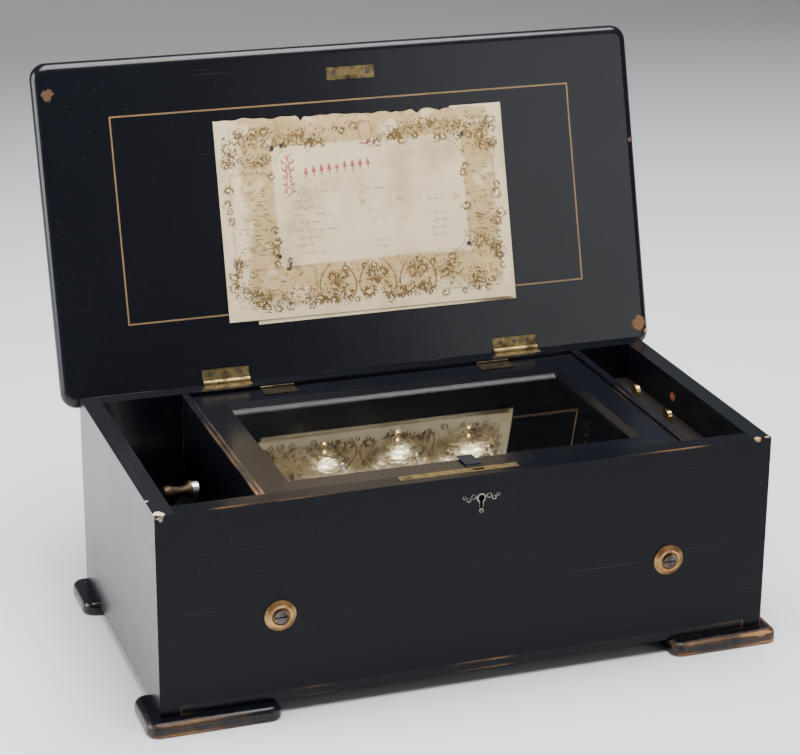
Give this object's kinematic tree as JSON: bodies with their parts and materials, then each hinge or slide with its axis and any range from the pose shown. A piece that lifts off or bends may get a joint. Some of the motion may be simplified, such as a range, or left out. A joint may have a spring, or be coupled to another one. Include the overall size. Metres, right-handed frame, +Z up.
{
  "type": "wind up music box",
  "caption": "Lever-wound cylinder musical box in an ebonised wooden case, with a glass inner lid over three bells, a steel comb and a tune sheet in its open lid.",
  "frame": {"origin": "on the floor, at the middle of the whole outline with the lid open at its stop", "axes": "+X to the right seen from the front, +Y to the back, +Z up"},
  "size_m": [0.5486, 0.3736, 0.4551],
  "materials": {
    "ebonised_wood": "gloss",
    "inner_wood": "satin",
    "bare_wood": "matte",
    "stringing_wood": "satin",
    "brass": "polished",
    "bell_brass": "polished",
    "steel": "satin",
    "dark_steel": "satin",
    "iron": "satin",
    "paper": "matte",
    "glass": "clear",
    "cloth": "matte"
  },
  "bodies": {
    "case": {"case_front": "ebonised_wood", "case_back": "ebonised_wood", "case_left_end": "ebonised_wood", "case_right_end": "ebonised_wood", "base_board": "bare_wood", "foot_front_left": "ebonised_wood", "foot_front_right": "ebonised_wood", "foot_back_left": "ebonised_wood", "foot_back_right": "ebonised_wood", "left_partition": "ebonised_wood", "right_partition": "ebonised_wood", "control_board": "ebonised_wood", "case_battens": "bare_wood", "case_hinge_leaves": "brass", "case_screws": "brass", "glass_case_hinge_leaves": "brass", "lock_case": "brass", "keyhole_escutcheon": "brass", "bedplate": "iron", "bedplate_screws": "steel", "bedplate_washers": "brass", "barrel_bridges": "brass", "cylinder_bearings": "brass", "comb_base": "brass", "music_comb": "steel", "comb_screws": "steel", "governor_frame": "brass", "bells": "bell_brass", "bell_rail": "brass"},
    "lid": {"lid_board": "ebonised_wood", "lid_stringing": "stringing_wood", "strike_plate": "brass", "lid_hinge_leaves": "brass", "lid_fasteners": "brass", "backing_sheet": "paper", "tune_sheet": "paper"},
    "glass_lid": {"glass_lid_rails": "ebonised_wood", "glass_lid_stiles": "ebonised_wood", "glass_pane": "glass", "glass_lid_hinge_leaves": "brass", "pull_tab": "cloth"},
    "lever": {"winding_lever": "steel", "lever_handle": "ebonised_wood"},
    "arbor": {"barrel_arbor": "steel", "ratchet_wheel": "steel"},
    "click": {"ratchet_click": "steel"},
    "barrel": {"spring_barrel": "brass", "mainspring": "dark_steel"},
    "drive": {"cylinder_arbor": "steel"},
    "cylinder": {"music_cylinder": "brass"},
    "snail": {"tune_snail": "brass"},
    "governor_1": {"governor_wheel_1": "brass"},
    "governor_2": {"governor_wheel_2": "brass"},
    "fly": {"worm_fly": "steel"},
    "hammer_1": {"bell_hammer_1": "steel"},
    "hammer_2": {"bell_hammer_2": "steel"},
    "hammer_3": {"bell_hammer_3": "steel"},
    "start_lever": {"start_stop_lever": "brass"},
    "change_lever": {"change_repeat_lever": "brass"},
    "bolt": {"lock_bolt": "steel"}
  },
  "joints": [
    {"name": "lid_hinge", "type": "hinge", "parent": "case", "child": "lid", "pos_m": [0, 0.09145, 0.1833], "axis": [-1, 0, 0], "range_deg": [-106.3, 0]},
    {"name": "glass_lid_hinge", "type": "hinge", "parent": "case", "child": "glass_lid", "pos_m": [0, 0.07236, 0.1814], "axis": [-1, 0, 0], "range_deg": [0, 80]},
    {"name": "winding_lever_swing", "type": "hinge", "parent": "case", "child": "lever", "pos_m": [-0.209, -0.01725, 0.104], "axis": [-1, 0, 0], "range_deg": [-30, 60]},
    {"name": "winding_arbor_turn", "type": "hinge", "parent": "case", "child": "arbor", "pos_m": [-0.16, -0.01725, 0.104], "axis": [-1, 0, 0], "range_deg": [-30, 60]},
    {"name": "ratchet_click_lift", "type": "hinge", "parent": "case", "child": "click", "pos_m": [-0.164, 0.00675, 0.116], "axis": [-1, 0, 0], "range_deg": [0, 12], "stiffness_Nm_per_rad": 0.02},
    {"name": "cylinder_spin", "type": "hinge", "parent": "case", "child": "drive", "pos_m": [0, -0.05684, 0.118], "axis": [1, 0, 0], "continuous": true},
    {"name": "tune_shift", "type": "slide", "parent": "drive", "child": "cylinder", "axis": [1, 0, 0], "range_m": [0, 0.0028], "stiffness_N_per_m": 200},
    {"name": "tune_snail_turn", "type": "hinge", "parent": "cylinder", "child": "snail", "pos_m": [0.111, -0.04285, 0.118], "axis": [1, 0, 0], "continuous": true},
    {"name": "barrel_turn", "type": "hinge", "parent": "case", "child": "barrel", "pos_m": [-0.14, -0.01725, 0.104], "axis": [1, 0, 0], "continuous": true},
    {"name": "governor_wheel_1_turn", "type": "hinge", "parent": "case", "child": "governor_1", "pos_m": [0.134, -0.08389, 0.11075], "axis": [1, 0, 0], "continuous": true},
    {"name": "governor_wheel_2_turn", "type": "hinge", "parent": "case", "child": "governor_2", "pos_m": [0.145, -0.10162, 0.10763], "axis": [1, 0, 0], "continuous": true},
    {"name": "fly_spin", "type": "hinge", "parent": "case", "child": "fly", "pos_m": [0.145, -0.11578, 0.122], "axis": [0, 0, 1], "continuous": true},
    {"name": "bell_hammer_1_swing", "type": "hinge", "parent": "case", "child": "hammer_1", "pos_m": [-0.051, -0.00685, 0.1], "axis": [-1, 0, 0], "range_deg": [0, 8], "stiffness_Nm_per_rad": 0.05},
    {"name": "bell_hammer_2_swing", "type": "hinge", "parent": "case", "child": "hammer_2", "pos_m": [0.0165, -0.00685, 0.1], "axis": [-1, 0, 0], "range_deg": [0, 8], "stiffness_Nm_per_rad": 0.05},
    {"name": "bell_hammer_3_swing", "type": "hinge", "parent": "case", "child": "hammer_3", "pos_m": [0.083, -0.00685, 0.1], "axis": [-1, 0, 0], "range_deg": [0, 6], "stiffness_Nm_per_rad": 0.05},
    {"name": "start_stop_swing", "type": "hinge", "parent": "case", "child": "start_lever", "pos_m": [0.22, 0.00215, 0.136], "axis": [-1, 0, 0], "range_deg": [-8, 8]},
    {"name": "change_repeat_swing", "type": "hinge", "parent": "case", "child": "change_lever", "pos_m": [0.22, -0.06284, 0.136], "axis": [-1, 0, 0], "range_deg": [-8, 8]},
    {"name": "lock_bolt_throw", "type": "slide", "parent": "case", "child": "bolt", "axis": [1, 0, 0], "range_m": [0, 0.005]}
  ],
  "couplings": [
    {"joint": "winding_arbor_turn", "follows": "winding_lever_swing", "ratio": 1},
    {"joint": "barrel_turn", "follows": "cylinder_spin", "ratio": -0.27273},
    {"joint": "governor_wheel_1_turn", "follows": "cylinder_spin", "ratio": -4},
    {"joint": "governor_wheel_2_turn", "follows": "cylinder_spin", "ratio": 12},
    {"joint": "fly_spin", "follows": "cylinder_spin", "ratio": 144}
  ]
}
